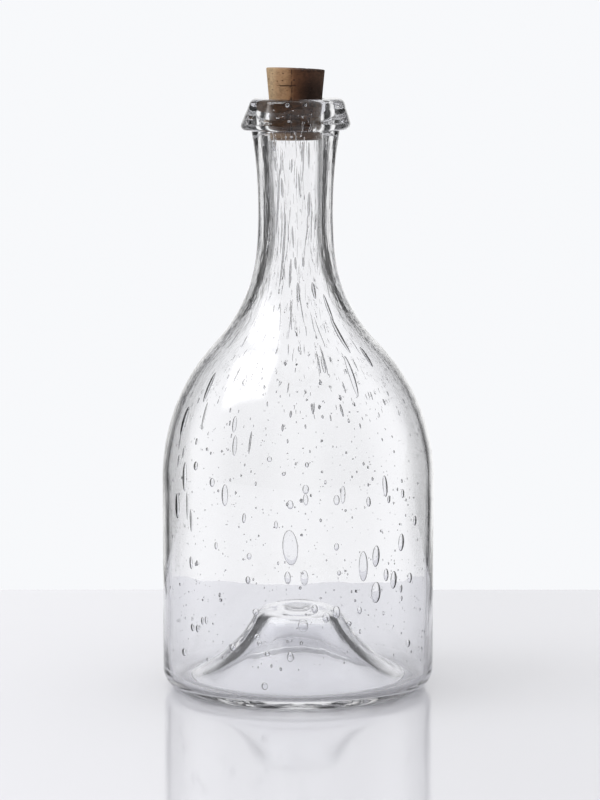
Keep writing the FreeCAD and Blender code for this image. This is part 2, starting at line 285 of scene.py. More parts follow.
def rounded(corners, step):
    # A run of straight lines whose corners (radius, height, rounding) become arcs.
    points = [corners[0][:2]]
    for before, corner, after in zip(corners, corners[1:], corners[2:]):
        here, rounding = corner[:2], corner[2]
        a, b = before[:2], after[:2]
        legs = [math.dist(here, a), math.dist(here, b)]
        across, up = (a[0] - here[0]) * (b[0] - here[0]), (a[1] - here[1]) * (b[1] - here[1])
        cosine = (across + up) / (legs[0] * legs[1])
        half = math.acos(max(-1.0, min(1.0, cosine))) / 2
        back = rounding / math.tan(half)
        enter, leave = towards(here, a, back), towards(here, b, back)
        halfway = ((enter[0] + leave[0]) / 2, (enter[1] + leave[1]) / 2)
        middle = towards(here, halfway, rounding / math.sin(half))
        first, last = bearing(middle, enter), bearing(middle, leave)
        last = first + (last - first + 180) % 360 - 180
        points += linePoints(points[-1], enter, step)[1:] + arcPoints(middle, rounding, first, last, step)[1:]
    return points + linePoints(points[-1], corners[-1][:2], step)[1:]


# The table, its backdrop and the light.

studio = {
    "tableAhead": 1.5, "tableBehind": 0.214, "tableSide": 2.0, "tableDepth": 0.04,          # metres
    # The table's second colour is painted shade: the top darkens to the right, where the softbox's light
    # falls off.
    "tableColour": (0.885, 0.885, 0.935), "tableRightShade": (0.785, 0.785, 0.83),
    "shadeFrom": -0.16, "shadeTo": 0.10, "tableRoughness": 0.08, "tableShadeThroughGlass": 0.17,
    "tablePaintedGlow": (0.30, 0.30, 0.315), "glowRim": 0.051, "glowFull": 0.041,
    "background": (0.935, 0.945, 0.965),
    "panel": 0.985, "gap": 0.02, "gapFrom": 0.86, "gapTo": 0.985, "topFrom": 0.45, "topTo": 0.75,
    "frontLevel": 0.35, "fill": 0.84, "throughGlass": 0.25,
    "boxTurn": 76.0, "boxRise": 51.0, "boxRoll": 38.0,                                      # degrees
    "boxWide": 0.335, "boxLong": 0.245, "boxSoft": 0.07, "boxLevel": 1.7, "boxGain": 2.5,
    "cameraPlace": (0.0008, -1.385, 0.294), "cameraTilt": 7.27, "cameraLens": 155.25, "cameraSensor": 36.0,
}
black, white = (0.0, 0.0, 0.0), (1.0, 1.0, 1.0)


def makeTable():
    depth, side = studio["tableDepth"], studio["tableSide"]
    front, back = -studio["tableAhead"], studio["tableBehind"]
    rim = [(-side, front), (side, front), (side, back), (-side, back)]
    corners = [(x, y, z) for z in (-depth, 0.0) for x, y in rim]
    faces = [(3, 2, 1, 0), (4, 5, 6, 7), (0, 1, 5, 4), (1, 2, 6, 5), (2, 3, 7, 6), (3, 0, 4, 7)]
    mesh = bpy.data.meshes.new("table")
    mesh.from_pydata(corners, [], faces)
    table = bpy.data.objects.new("table", mesh)
    scene.collection.objects.link(table)
    material, net = newMaterial("glossyWhiteTable")
    x, y, _ = net.split(net.add("ShaderNodeTexCoord", {}, {}, "Object"))
    # Painted shade: the table darkens towards the right, where the softbox's light falls off.
    shaded = x.rise(studio["shadeFrom"], studio["shadeTo"])
    colour = net.mix(shaded, studio["tableColour"], studio["tableRightShade"])
    # Painted shade: seen through the bottle the table is a little darker, for the bottle's shadow. Painted
    # light: it glows faintly under the foot, for the light the thick glass gathers there.
    through = atLeastOnce(net.add("ShaderNodeLightPath"), "Transmission Depth")
    colour = net.mix(through * studio["tableShadeThroughGlass"], colour, black)
    under = (x * x + y * y).rise(studio["glowRim"] ** 2, studio["glowFull"] ** 2)
    surface(net, Base_Color=colour, Roughness=studio["tableRoughness"], IOR=1.45, Emission_Strength=1.0,
            Emission_Color=net.mix(under, black, studio["tablePaintedGlow"]))
    mesh.materials.append(material)


def makeWorld():
    # Nearly white all round for the camera. Glass sees four white panels with darker gaps between
    # them, and a softbox high on the left lights the bottle and shines on its shoulder.
    world = bpy.data.worlds.new("studio")
    world.use_nodes = True
    world.node_tree.nodes.clear()
    net = Net(world.node_tree)
    way = net.add("ShaderNodeTexCoord", {}, {}, "Generated")
    x, y, z = net.split(way)
    facing = abs(x).most(abs(y)) / (x * x + y * y + 1e-6) ** 0.5
    lit = facing.rise(studio["gapFrom"], studio["gapTo"])
    overhead = z.rise(studio["topFrom"], studio["topTo"])
    seen = net.blend(lit.most(overhead), studio["gap"], studio["panel"])
    camera = net.add("ShaderNodeLightPath", {}, {}, "Is Camera Ray")
    glossy, passing = camera.out("Is Glossy Ray"), camera.out("Is Transmission Ray")
    bounced, through = atLeastOnce(camera, "Diffuse Depth"), atLeastOnce(camera, "Transmission Depth")
    # Mirrored in glass and table, the side behind the camera is dimmer.
    level = studio["frontLevel"]
    dimmed = level + (1.0 - level) * (0.3 - y).rise(0.9, 0.0)
    straight = net.blend(glossy, net.blend(passing, studio["fill"], seen), seen * dimmed)
    # Light that reaches the table through the bottle makes up for what the many faces lose.
    spread = studio["fill"] * (1.0 + studio["throughGlass"] * through)
    # The softbox is brightest where the outer skin mirrors it.
    skinOnly = (1.0 - through) * glossy * (1.0 - bounced)
    boxLevel = studio["boxLevel"] * (1.0 + studio["boxGain"] * skinOnly)
    amount = net.blend(bounced, straight, spread) + softbox(net, way) * boxLevel
    back = net.add("ShaderNodeBackground", {}, {
        "Color": net.mix(camera, white, studio["background"]), "Strength": net.blend(camera, amount, 1.0)})
    net.add("ShaderNodeOutputWorld", {}, {"Surface": back})
    scene.world = world


def softbox(net, way):
    # 1 in the box, 0 outside, with soft edges. Its half width and half length are per unit of distance.
    turns = ((-studio["boxTurn"], "Z"), (90.0 - studio["boxRise"], "X"), (studio["boxRoll"], "Z"))
    lamp = Matrix.Identity(3)
    for degrees, axis in turns:
        lamp = lamp @ Matrix.Rotation(math.radians(degrees), 3, axis)
    across, up, ahead = (net.dot(way, tuple(lamp.col[n])) for n in range(3))
    inside = ahead.rise(0.0, 0.1)
    for offset, half in ((across, studio["boxWide"]), (up, studio["boxLong"])):
        share = abs(offset) / ahead.most(0.01)
        inside = inside * share.rise(half + studio["boxSoft"], half - studio["boxSoft"])
    return inside


def makeCamera():
    camera = bpy.data.cameras.new("camera")
    camera.sensor_fit = "VERTICAL"
    camera.sensor_height = studio["cameraSensor"]
    camera.lens = studio["cameraLens"]
    camera.clip_end = 20.0
    holder = bpy.data.objects.new("camera", camera)
    scene.collection.objects.link(holder)
    holder.location = studio["cameraPlace"]
    holder.rotation_euler = (math.radians(90.0 - studio["cameraTilt"]), 0.0, 0.0)
    scene.camera = holder


makeTable()
makeWorld()
makeCamera()
print("studio ready")


# The bottle: one skin from the middle underneath, round the foot, up over the lip, down the
# inside and up to the top of the punt. Millimetres, as the solid's own sizes.

bottle = {
    "bodyRadius": 55.0, "bodyWall": 2.3, "heelRounding": 8.0,
    "shoulderHeight": 85.5, "shoulderRounding": 80.0,
    "lipHeight": 239.0, "boreRadius": 10.2, "boreFlare": 0.65, "boreDrop": 51.0, "mouthRounding": 1.2,
    "neckWall": 4.8, "neckSweep": 185.0, "waistDrop": 45.0, "throatDrop": 61.0,
    "collarDrop": 12.6, "collarFlare": 5.0, "collarTopFlare": 0.8, "collarFootRounding": 2.2,
    "collarTopRounding": 2.4, "collarRootRounding": 0.8,
    "floorThickness": 4.5, "valleyRounding": 4.0, "puntHeight": 33.5, "puntFlat": 8.5, "puntEdge": 12.0,
    "puntSweep": 46.0, "crownThickness": 5.0, "hollowFlat": 9.0, "hollowEdge": 6.0, "skirtRise": 20.3,
    "ringWidth": 5.0, "ringRounding": 2.0, "pontilRadius": 5.5, "pontilDepth": 1.4,
    "segments": 150, "step": 2.0, "longStep": 4.0, "edgeStep": 1.0, "fineStep": 0.8, "lipStep": 0.45,
    "lean": 1.0, "leanFrom": 90.0, "leanTo": 170.0,
    "waverBody": 0.10, "waverFoot": 0.30, "waverNeck": 0.16, "waverMouth": 0.05, "waverCollar": 0.50,
    "runDown": 1.3, "runBelow": 90.0, "seed": 7.3, "creaseSharpness": 28.0,
    "crease": 0.0005, "collarShift": 0.0007, "collarDraw": 0.0003, "collarSag": 0.00055,   # metres
}
collarFoot = bottle["lipHeight"] - bottle["collarDrop"]


def outsideOutline(b):
    step = b["step"]
    roof = b["puntHeight"] - b["crownThickness"]
    foot, ring = b["bodyRadius"] - b["heelRounding"], b["bodyRadius"] - b["heelRounding"] - b["ringWidth"]
    sphere = (b["pontilRadius"] ** 2 + b["pontilDepth"] ** 2) / (2 * b["pontilDepth"])
    button = (0.0, roof - b["pontilDepth"] + sphere)
    spread = math.degrees(math.asin(b["pontilRadius"] / sphere))
    edge = (b["hollowFlat"], roof - b["hollowEdge"])
    reach, rise = ring - edge[0], math.radians(b["skirtRise"])
    skirtRadius = (reach ** 2 + edge[1] ** 2 - b["hollowEdge"] ** 2) / (
        2 * (b["hollowEdge"] - reach * math.sin(rise) + edge[1] * math.cos(rise)))
    sweep = crossing(edge, skirtRadius + b["hollowEdge"], (ring, 0.0), skirtRadius)
    skirtTop = towards(edge, sweep, b["hollowEdge"])
    points = arcPoints(button, sphere, -90.0, -90.0 + spread, step)
    points += linePoints(points[-1], (edge[0], roof), step)[1:]
    points += arcPoints(edge, b["hollowEdge"], 90.0, bearing(edge, skirtTop), b["edgeStep"])[1:]
    skirtFoot = bearing(sweep, (ring, 0.0)) % 360
    skirt = arcPoints(sweep, skirtRadius, bearing(sweep, skirtTop) % 360, skirtFoot, step)
    # The skirt stops short of the ring, to leave room for the ring's rounding.
    points += [point for point in skirt[1:] if math.dist(point, (ring, 0.0)) > 1.5 * b["ringRounding"]]
    standing = [points[-1] + (0,), (ring, 0.0, b["ringRounding"]), (foot, 0.0, 0)]
    points += rounded(standing, b["fineStep"])[1:]
    points += arcPoints((foot, b["heelRounding"]), b["heelRounding"], -90.0, 0.0, b["fineStep"])[1:]
    points += linePoints(points[-1], (b["bodyRadius"], b["shoulderHeight"]), b["longStep"])[1:]

    shoulder = (b["bodyRadius"] - b["shoulderRounding"], b["shoulderHeight"])
    waist, waistHeight = b["boreRadius"] + b["neckWall"], b["lipHeight"] - b["waistDrop"]
    neck = (waist + b["neckSweep"], waistHeight)
    fall = b["throatDrop"] - b["waistDrop"]
    joint = (neck[0] - math.sqrt(b["neckSweep"] ** 2 - fall ** 2), waistHeight - fall)
    side = ((neck[0] - joint[0]) / b["neckSweep"], fall / b["neckSweep"])
    throat = throatCentre(shoulder, b["shoulderRounding"], joint, side)
    turn = bearing(shoulder, throat)
    points += arcPoints(shoulder, b["shoulderRounding"], 0.0, turn, step)[1:]
    last = bearing(throat, joint) % 360
    points += arcPoints(throat, math.dist(throat, joint), 180.0 + turn, last, step)[1:]
    root = neck[0] - math.sqrt(b["neckSweep"] ** 2 - (collarFoot - neck[1]) ** 2)
    rise = math.degrees(math.asin((collarFoot - 2.5 - neck[1]) / b["neckSweep"]))
    points += arcPoints(neck, b["neckSweep"], bearing(neck, joint) % 360, 180.0 - rise, step)[1:]
    mouth = b["boreRadius"] + b["boreFlare"]
    bore = (b["boreRadius"], b["lipHeight"] - b["boreDrop"])
    points += rounded([
        points[-1] + (0,),
        (root, collarFoot, b["collarRootRounding"]),
        (root + b["collarFlare"], collarFoot, b["collarFootRounding"]),
        (root + b["collarTopFlare"], b["lipHeight"], b["collarTopRounding"]),
        (mouth, b["lipHeight"], b["mouthRounding"]),
        towards((mouth, b["lipHeight"]), bore, 6.0) + (0,),
    ], b["lipStep"])[1:]
    return points


def insideOutline(b, top):
    # From the bore just under the lip, down to the axis at the top of the punt.
    step = b["step"]
    narrow = (b["boreRadius"], b["lipHeight"] - b["boreDrop"])
    lip = (b["boreRadius"] + b["boreFlare"], b["lipHeight"])
    length = math.dist(lip, narrow)
    side = ((lip[1] - narrow[1]) / length, (narrow[0] - lip[0]) / length)
    shoulder = (b["bodyRadius"] - b["shoulderRounding"], b["shoulderHeight"])
    inner = b["shoulderRounding"] - b["bodyWall"]
    wall = b["bodyRadius"] - b["bodyWall"]
    throat = throatCentre(shoulder, inner, narrow, side)
    turn = bearing(shoulder, throat)
    valley = (wall - b["valleyRounding"], b["floorThickness"] + b["valleyRounding"])
    edge = (b["puntFlat"], b["puntHeight"] - b["puntEdge"])
    sweep = crossing(edge, b["puntSweep"] + b["puntEdge"], valley, b["puntSweep"] - b["valleyRounding"])
    flankTop, flankFoot = towards(edge, sweep, b["puntEdge"]), towards(sweep, valley, b["puntSweep"])
    points = linePoints(top, narrow, step)[1:]
    first = bearing(throat, narrow) % 360
    points += arcPoints(throat, math.dist(throat, narrow), first, 180.0 + turn, step)[1:]
    points += arcPoints(shoulder, inner, turn, 0.0, step)[1:]
    points += linePoints(points[-1], (wall, valley[1]), b["longStep"])[1:]
    points += arcPoints(valley, b["valleyRounding"], 0.0, bearing(valley, flankFoot), 0.9)[1:]
    low, high = bearing(sweep, flankFoot) % 360, bearing(sweep, flankTop) % 360
    points += arcPoints(sweep, b["puntSweep"], low, high, step)[1:]
    points += arcPoints(edge, b["puntEdge"], bearing(edge, flankTop), 90.0, b["fineStep"])[1:]
    return points + linePoints((edge[0], b["puntHeight"]), (0.0, b["puntHeight"]), step)[1:]


outside = outsideOutline(bottle)
inside = insideOutline(bottle, outside[-1])
print("outline points:", len(outside), "+", len(inside))


def radiusAt(points, height, pick=max):
    # Largest radius of an outline at a height, or smallest.
    return pick(a[0] + (b[0] - a[0]) * (height - a[1]) / (b[1] - a[1])
                for a, b in zip(points, points[1:])
                if (a[1] - height) * (b[1] - height) <= 0 and a[1] != b[1])


def innerAt(height):
    # Close to the lip the bore still belongs to the outside outline, which runs over the lip.
    return radiusAt(inside, height) if height < inside[0][1] else radiusAt(outside, height, min)


# The middle of the wall from just above the foot to just under the lip, which the bubbles follow.
wallFrom, wallStep, wallCount = 7.0, 2.0, 116
wallHeights = [wallFrom + wallStep * n for n in range(wallCount)]
wallPath = [((radiusAt(outside, h) + innerAt(h)) / 2, h) for h in wallHeights]
wallThick = [radiusAt(outside, h) - innerAt(h) for h in wallHeights]
wallLength = [0.0]
for a, b in zip(wallPath, wallPath[1:]):
    wallLength.append(wallLength[-1] + math.dist(a, b))


def along(height):
    # Length up the wall to that height, and the radius there.
    n = max(0, min(wallCount - 2, int((height - wallFrom) / wallStep)))
    share = (height - wallHeights[n]) / wallStep
    return (wallLength[n] + share * (wallLength[n + 1] - wallLength[n]),
            wallPath[n][0] + share * (wallPath[n + 1][0] - wallPath[n][0]))


# Bubbles that are large enough to know one from the next: how far across from the middle as
# seen from in front, height, width, length up the wall, all in millimetres.
bubbles = {
    "body": [
        (-36.5, 115, 1, 11), (-43.5, 79, 1.2, 11), (-42, 73.5, 1.2, 9), (-45, 99.5, 1, 4),
        (-46.5, 103, 0.8, 6), (-47, 96, 0.8, 5), (-18.5, 106.5, 0.8, 9), (-3, 66, 6, 14),
        (-4, 54, 2.5, 5), (2.5, 54, 3, 6), (25.5, 57.5, 4, 12), (30.5, 61, 3.5, 8.5),
        (30.5, 46.5, 4.5, 8.5), (34.5, 53, 2.5, 5), (37.5, 50.5, 3.5, 7), (44, 50, 3, 4),
        (40.5, 46.5, 1.5, 3), (3, 89, 2.5, 3.5), (3, 85, 2, 4.5), (-3, 83, 2.5, 3.5),
        (15, 84.5, 2.5, 4), (17.5, 86.5, 2, 7), (15, 66, 2, 3), (27.5, 83, 2, 4), (34, 88.5, 2.5, 8.5),
        (35.5, 83, 1.5, 3), (41, 84.5, 2, 3.5), (46, 72.5, 2.5, 4), (40.5, 65, 3.5, 7),
        (-28.5, 85.5, 3, 8.5), (-33.5, 90, 2.5, 3.5), (-40, 95.5, 2.5, 3.5), (-21, 77, 1.5, 4),
        (-32, 65, 1.5, 3), (-42, 56.5, 2, 5), (-44.5, 90.5, 3, 11.5), (-47.5, 78, 3.5, 10),
        (-8.5, 75, 1.5, 3), (3.5, 98.5, 1.5, 2), (-11, 100.5, 2, 2), (-5.5, 95, 1.5, 1.5),
        (16, 55.5, 1.5, 2), (-19.5, 52.5, 2, 3), (-19, 62, 2, 2.5),
    ],
    "foot": [
        (6.5, 41.5, 2.5, 3.5), (15, 40, 3, 5), (11, 38, 3, 4), (2, 35, 4, 5), (-16, 30, 2.5, 2.5),
        (-15, 27.5, 2, 2), (-25.5, 25, 2.5, 3), (-12, 23.5, 2, 2), (-3, 22.5, 2.5, 4),
        (-13, 10.5, 2.5, 3), (-45, 19.5, 3, 3), (-41.5, 30.5, 2, 3), (-39.5, 30.5, 1.8, 3),
        (-37.5, 34, 1.5, 3), (-36, 34.5, 1.5, 3), (-16.5, 40, 2.5, 2.5), (20, 35, 2, 2), (24, 40, 2, 3),
        (43.5, 23.5, 2.5, 3),
    ],
    "shoulder": [
        (17, 145.5, 2, 18), (21.5, 131, 2.5, 18.5), (27.5, 137, 2, 10), (12.5, 156, 1.5, 12),
        (10.5, 135.5, 1.5, 8), (-34.5, 125.5, 2, 13), (-44.5, 111.5, 3.5, 12), (-24.5, 113, 2, 6.5),
        (-24.5, 105, 2, 8),
    ],
    "neck": [
        (-6.5, 198.5, 0.8, 27), (-4.5, 179, 0.8, 30), (5, 197.5, 1, 10), (5, 217, 0.7, 11),
        (7, 163, 1.5, 7), (-8, 221, 2, 4.5), (-2, 170, 0.8, 12), (1.5, 205, 0.7, 10),
        (8.5, 200, 0.6, 25), (7.5, 190.5, 0.8, 7), (1, 162.5, 1.2, 8.5), (3, 174.5, 0.8, 4),
        (0, 174, 0.8, 5), (-1, 184.5, 0.6, 9), (2.5, 218.5, 0.6, 8.5), (-1.5, 213, 0.6, 5.5),
        (-7.5, 213.5, 0.7, 6), (-5, 204, 1, 8), (-9.5, 220, 0.7, 6.5), (-9.5, 211.5, 0.6, 9.5),
    ],
    "collar": [
        (-3, 236.5, 1.6, 2), (4, 236.5, 0.8, 1), (-1, 234.5, 0.8, 1), (-5, 232.5, 0.8, 1),
        (1, 233, 0.6, 1), (2.5, 232.5, 0.8, 1), (-2.5, 230, 1, 1), (2.5, 229, 0.6, 2),
        (5, 228.5, 0.6, 1), (7.5, 227.5, 1.4, 2), (-8, 234.5, 0.8, 1), (-6.5, 231.5, 1.4, 1.4),
        (-1.5, 224.5, 1, 1), (-3.5, 224.5, 0.8, 1), (2, 225, 0.8, 1),
    ],
    "thickness": 0.28, "uneven": 0.06, "tilt": 0.08,
    # The fine ones, which glassmakers call seeds: how many, how thickly, and their radii in metres.
    "seeds": 5200, "fineSeed": 11, "spread": 0.48, "smallest": 0.00017, "range": 0.00050,
    "flat": 0.48, "slim": 0.62, "drawn": 20.0, "drawnFrom": 0.090, "drawnTo": 0.165, "fineTilt": 0.12,
}
places = ("body", "foot", "shoulder", "neck", "collar")


def bubbleSpots():
    spots = []
    for across, height, width, length in (spot for place in places for spot in bubbles[place]):
        reach, radius = along(height)
        spots.append((math.asin(max(-0.97, min(0.97, across / radius))), reach, width, length))
    mesh = bpy.data.meshes.new("bubbleSpots")
    mesh.from_pydata([(0.0, reach / 1000, 0.0) for _, reach, _, _ in spots], [], [])
    for label, numbers in (("around", [s[0] for s in spots]), ("wide", [s[2] / 2000 for s in spots]),
                           ("long", [s[3] / 2000 for s in spots])):
        mesh.attributes.new(label, "FLOAT", "POINT").data.foreach_set("value", numbers)
    made = bpy.data.objects.new("bubbleSpots", mesh)
    scene.collection.objects.link(made)
    return made


def seamTurn(height):
    # How far round the collar its seam lies, in radians: it slopes from the lip to the collar's foot.
    return 0.10 + (238.0 - height) * 0.022


def ridge(offset, sharpness):
    # 1 on a line, falling away on both sides of it.
    return 1.0 / (1.0 + (offset * sharpness) ** 2.0)


glass = {
    "colour": (0.986, 0.988, 0.999), "ior": 1.5, "relief": 0.22, "depth": 0.0012, "ripple": 0.5,
    "streakBody": 0.05, "streakNeck": 0.10, "streakFlank": 0.40, "seam": 1.6, "seamSharpness": 70.0,
    "neckFrom": 0.10, "neckFull": 0.17, "neckEnd": 0.222, "collarStart": 0.228,             # heights
}


def clearGlass():
    # Water-clear glass with drawn streaks and a slightly rippled skin.
    material, net = newMaterial("clearSeededGlass")
    place = net.add("ShaderNodeTexCoord", {}, {}, "Object")
    x, y, z = net.split(place)
    ripple = net.noise(place, 38.0, 2.0)
    streak = net.noise(net.point(x, y, z * 0.06), 420.0, 2.0, 0.6)
    inNeck = z.rise(glass["neckFrom"], glass["neckFull"]) * z.rise(glass["collarStart"], glass["neckEnd"])
    # The seam where the collar's thread of glass was laid on, down the front of the collar.
    centred = x + bottle["lean"] / 1000
    turn = centred.maths("ARCTAN2", centred, -y)
    seam = ridge(turn - seamTurn(z * 1000.0), glass["seamSharpness"])
    onCollar = z.rise(0.2262, 0.2275) * (x * x + y * y).rise(0.0115 ** 2, 0.0135 ** 2)
    flank = (abs(x) / (x * x + y * y + 1e-7) ** 0.5).rise(0.55, 0.85)
    streaky = glass["streakBody"] + inNeck * (glass["streakNeck"] + glass["streakFlank"] * flank)
    height = ripple * glass["ripple"] + streak * streaky - seam * onCollar * glass["seam"]
    surface(net, Base_Color=glass["colour"], Roughness=0.0, IOR=glass["ior"], Transmission_Weight=1.0,
            Normal=net.relief(height, glass["relief"], glass["depth"]))
    return material


def turnedSheet(net, given):
    # A flat sheet of rings and segments, how far round each of its points is, and a way to read
    # from the outline what belongs to its ring.
    sheet = net.add("GeometryNodeMeshGrid", {}, {"Size X": 1.0, "Size Y": 1.0, "Vertices X": given["Rings"],
                                                 "Vertices Y": given["Segments"] + 1.0}, "Mesh")
    u, v, _ = net.split(sheet.out("UV Map"))
    place = u * (given["Rings"] - 1.0) + 0.25
    ring = place.maths("FLOOR", place)

    def onRing(value, kind):
        return net.add("GeometryNodeSampleIndex", {"data_type": kind, "domain": "POINT"},
                       {"Geometry": given["Geometry"], "Value": value, "Index": ring})

    return sheet, v * math.tau - math.pi, onRing


def turnedSkin(net, sheet, place):
    # The sheet bent round to the given places, its seam and poles closed, its faces outward.
    shaped = net.add("GeometryNodeSetPosition", {}, {"Geometry": sheet, "Position": place})
    merged = net.add("GeometryNodeMergeByDistance", {}, {"Geometry": shaped, "Distance": 2e-6})
    return net.add("GeometryNodeFlipFaces", {}, {"Mesh": merged})


def wallBend(net, geometry, wall, around):
    # Lays flat work on the wall: x across, y up the wall, z out through the glass.
    x, y, z = net.split(net.add("GeometryNodeInputPosition"))
    sample = net.add("GeometryNodeSampleCurve", {"mode": "LENGTH", "data_type": "FLOAT"},
                     {"Curves": wall, "Value": net.named("thick"), "Length": y}, "Position")
    radius, _, height = net.split(sample)
    thick = sample.out("Value")
    slopeX, _, slopeZ = net.split(sample.out("Tangent"))
    turn = around + x / radius
    reach = radius + slopeZ * z * thick
    lift = height - slopeX * z * thick
    return net.add("GeometryNodeSetPosition", {}, {
        "Geometry": geometry, "Position": net.point(reach * turn.sine(), -(reach * turn.cosine()), lift)})


def bottleTree(material):
    tree, net, given = newTree("blownBottle", {
        "Wall": ("Object", None), "Spots": ("Object", None), "Rings": ("Int", 10), "Segments": ("Int", 96),
        "Seeds": ("Int", 1000), "Fine seed": ("Int", 1), "Thickness": ("Float", 0.5),
        "Spread": ("Float", 0.5), "Lean": ("Float", 0.0), "Waver seed": ("Float", 0.0),
    })
    # The skin, with a slow waver of the hand-worked wall.
    sheet, turn, onRing = turnedSheet(net, given)
    radius, _, height = net.split(onRing(net.add("GeometryNodeInputPosition"), "FLOAT_VECTOR"))
    waver, inner = onRing(net.named("waver"), "FLOAT"), onRing(net.named("inner"), "FLOAT")
    drift = net.point(turn.sine() + inner * 5.0, turn.cosine() + given["Waver seed"], height * 14.0)
    swell = (net.noise(drift, 1.6, 2.0, 0.55) - 0.5) * 2.0
    # A shallow crease along the collar's seam, its top off centre and its foot uneven.
    lift = height * 1000.0                                  # millimetres
    crease = ridge(turn - seamTurn(lift), bottle["creaseSharpness"]) * bottle["crease"]
    onCollar = lift.rise(225.6, 227.2) * (1.0 - inner)
    offCentre = lift.rise(227.0, 239.0) * (turn.sine() * bottle["collarShift"] - bottle["collarDraw"])
    radius = radius + waver * swell + onCollar * (offCentre - crease)
    sag = onCollar * (turn + 0.9).sine() * bottle["collarSag"] * (238.5 - lift).rise(0.0, 9.0)
    skin = turnedSkin(net, sheet, net.point(radius * turn.sine(), -(radius * turn.cosine()), height + sag))

    # The bubbles: balls drawn out on a flat sheet, then bent onto the wall.
    wall = net.add("GeometryNodeMeshToCurve", {}, {
        "Mesh": net.add("GeometryNodeObjectInfo", {}, {"Object": given["Wall"]}, "Geometry")})
    spots = net.add("GeometryNodeObjectInfo", {}, {"Object": given["Spots"]}, "Geometry")
    ball = net.add("GeometryNodeMeshIcoSphere", {}, {"Radius": 1.0, "Subdivisions": 3}, "Mesh")

    def tilted(most, seed):
        angle = net.chance(-most, most, seed)
        return net.add("FunctionNodeEulerToRotation", {}, {"Euler": net.point(0.0, 0.0, angle)})

    def thickAt(length):
        return net.add("GeometryNodeSampleCurve", {"mode": "LENGTH", "data_type": "FLOAT"}, {
            "Curves": wall, "Value": net.named("thick"), "Length": length}, "Value")

    # Flattened into the wall, but never deeper than they are wide.
    _, reach, _ = net.split(net.add("GeometryNodeInputPosition"))
    depth = given["Thickness"] * 0.5 + net.chance(-bubbles["uneven"], bubbles["uneven"], 8)
    depth = depth.least(net.named("wide") / thickAt(reach))
    large = net.add("GeometryNodeInstanceOnPoints", {}, {
        "Points": spots, "Instance": ball, "Rotation": tilted(bubbles["tilt"], 3),
        "Scale": net.point(net.named("wide"), net.named("long"), depth)})
    large = net.add("GeometryNodeRealizeInstances", {}, {"Geometry": large})

    # Seeds: thickly scattered, then thinned by chance and by a noise over the wall, so they lie in
    # loose drifts, with fewer on the shoulder and the neck.
    seed = given["Fine seed"]
    length, margin = wallLength[-1] / 1000, 0.004
    up = net.chance(0.0, 1.0, seed) ** 0.85 * (length - 2 * margin) + margin
    place = net.chance(-math.pi, math.pi, seed + 1.0)
    dots = net.add("GeometryNodePoints", {}, {"Count": given["Seeds"], "Position": net.point(0.0, up, 0.0)})
    dots = net.add("GeometryNodeStoreNamedAttribute", {"data_type": "FLOAT", "domain": "POINT"},
                   {"Geometry": dots, "Name": "around", "Value": place})
    turned = net.named("around")
    drift = net.noise(net.point(turned.sine() * 1.3, turned.cosine() * 1.3, reach * 26.0), 2.2, 3.0, 0.6)
    drift = drift * 0.5 + net.chance(0.0, 1.0, seed + 6.0) * 0.5
    sparse = net.add("FunctionNodeCompare", {"data_type": "FLOAT", "operation": "LESS_THAN"},
                     {"A": drift, "B": given["Spread"] + reach.rise(0.09, 0.16) * 0.13})
    dots = net.add("GeometryNodeDeleteGeometry", {"domain": "POINT"},
                   {"Geometry": dots, "Selection": sparse})
    # Longer and thinner towards the neck, round again in the collar.
    collarFrom = along(226.0)[0] / 1000
    drawn = reach.rise(bubbles["drawnFrom"], bubbles["drawnTo"])
    drawn = drawn * reach.rise(collarFrom + 0.003, collarFrom - 0.003)
    size = net.chance(0.0, 1.0, seed + 2.0) ** 5.0 * bubbles["range"] + bubbles["smallest"]
    stretch = 1.0 + net.chance(0.0, 1.0, seed + 3.0) + drawn * net.chance(1.0, bubbles["drawn"], seed + 4.0)
    slim = 1.0 - bubbles["slim"] * drawn
    grain = net.add("GeometryNodeMeshIcoSphere", {}, {"Radius": 1.0, "Subdivisions": 1}, "Mesh")
    fine = net.add("GeometryNodeInstanceOnPoints", {}, {
        "Points": dots, "Instance": grain, "Rotation": tilted(bubbles["fineTilt"], seed + 5.0),
        "Scale": net.point(size * slim, size * stretch, size * slim * bubbles["flat"] / thickAt(reach))})
    fine = net.add("GeometryNodeRealizeInstances", {}, {"Geometry": fine})
    sunk = (net.noise(net.point(turned * 9.0, 0.0, 0.0), 7.0, 0.0) - 0.5) * 0.9
    fine = net.add("GeometryNodeSetPosition", {}, {"Geometry": fine, "Offset": net.point(0.0, 0.0, sunk)})

    flat = net.add("GeometryNodeJoinGeometry", {}, {"Geometry": [large, fine]})
    bent = wallBend(net, flat, wall, net.named("around"))
    hollow = net.add("GeometryNodeFlipFaces", {}, {"Mesh": bent})
    whole = net.add("GeometryNodeJoinGeometry", {}, {"Geometry": [skin, hollow]})

    # The neck leans a little, as blown necks do.
    _, _, z = net.split(net.add("GeometryNodeInputPosition"))
    lean = z.rise(bottle["leanFrom"] / 1000, bottle["leanTo"] / 1000) * given["Lean"]
    whole = net.add("GeometryNodeSetPosition", {}, {"Geometry": whole, "Offset": net.point(-lean, 0.0, 0.0)})
    endTree(net, whole, material)
    return tree


def waverAt(radius, height, innerSide):
    # How far the hand-worked skin strays, in millimetres. Nothing at the axis and under the foot.
    b = bottle
    if radius < 6.0:
        return b["waverBody"] * radius / 6.0
    if height < 3.0:
        return 0.0
    if height > 225.0:
        return b["waverMouth"] if innerSide or radius < 12.5 else b["waverCollar"]
    if height > 150.0:
        return b["waverBody"] if innerSide and height > 215.0 else b["waverNeck"]
    return b["waverBody"] + b["waverFoot"] * max(0.0, 1 - height / 75.0) * (innerSide or radius < 46.0)


def settled(radius, height, innerSide):
    # Blown glass runs down while it is hot, so the wall thickens inwards towards the foot.
    below, valley = bottle["runBelow"], 42.0
    if not innerSide or radius < valley or height > below:
        return radius
    return radius - bottle["runDown"] * (1 - height / below) ** 2 * min(1.0, (radius - valley) / 10.0)


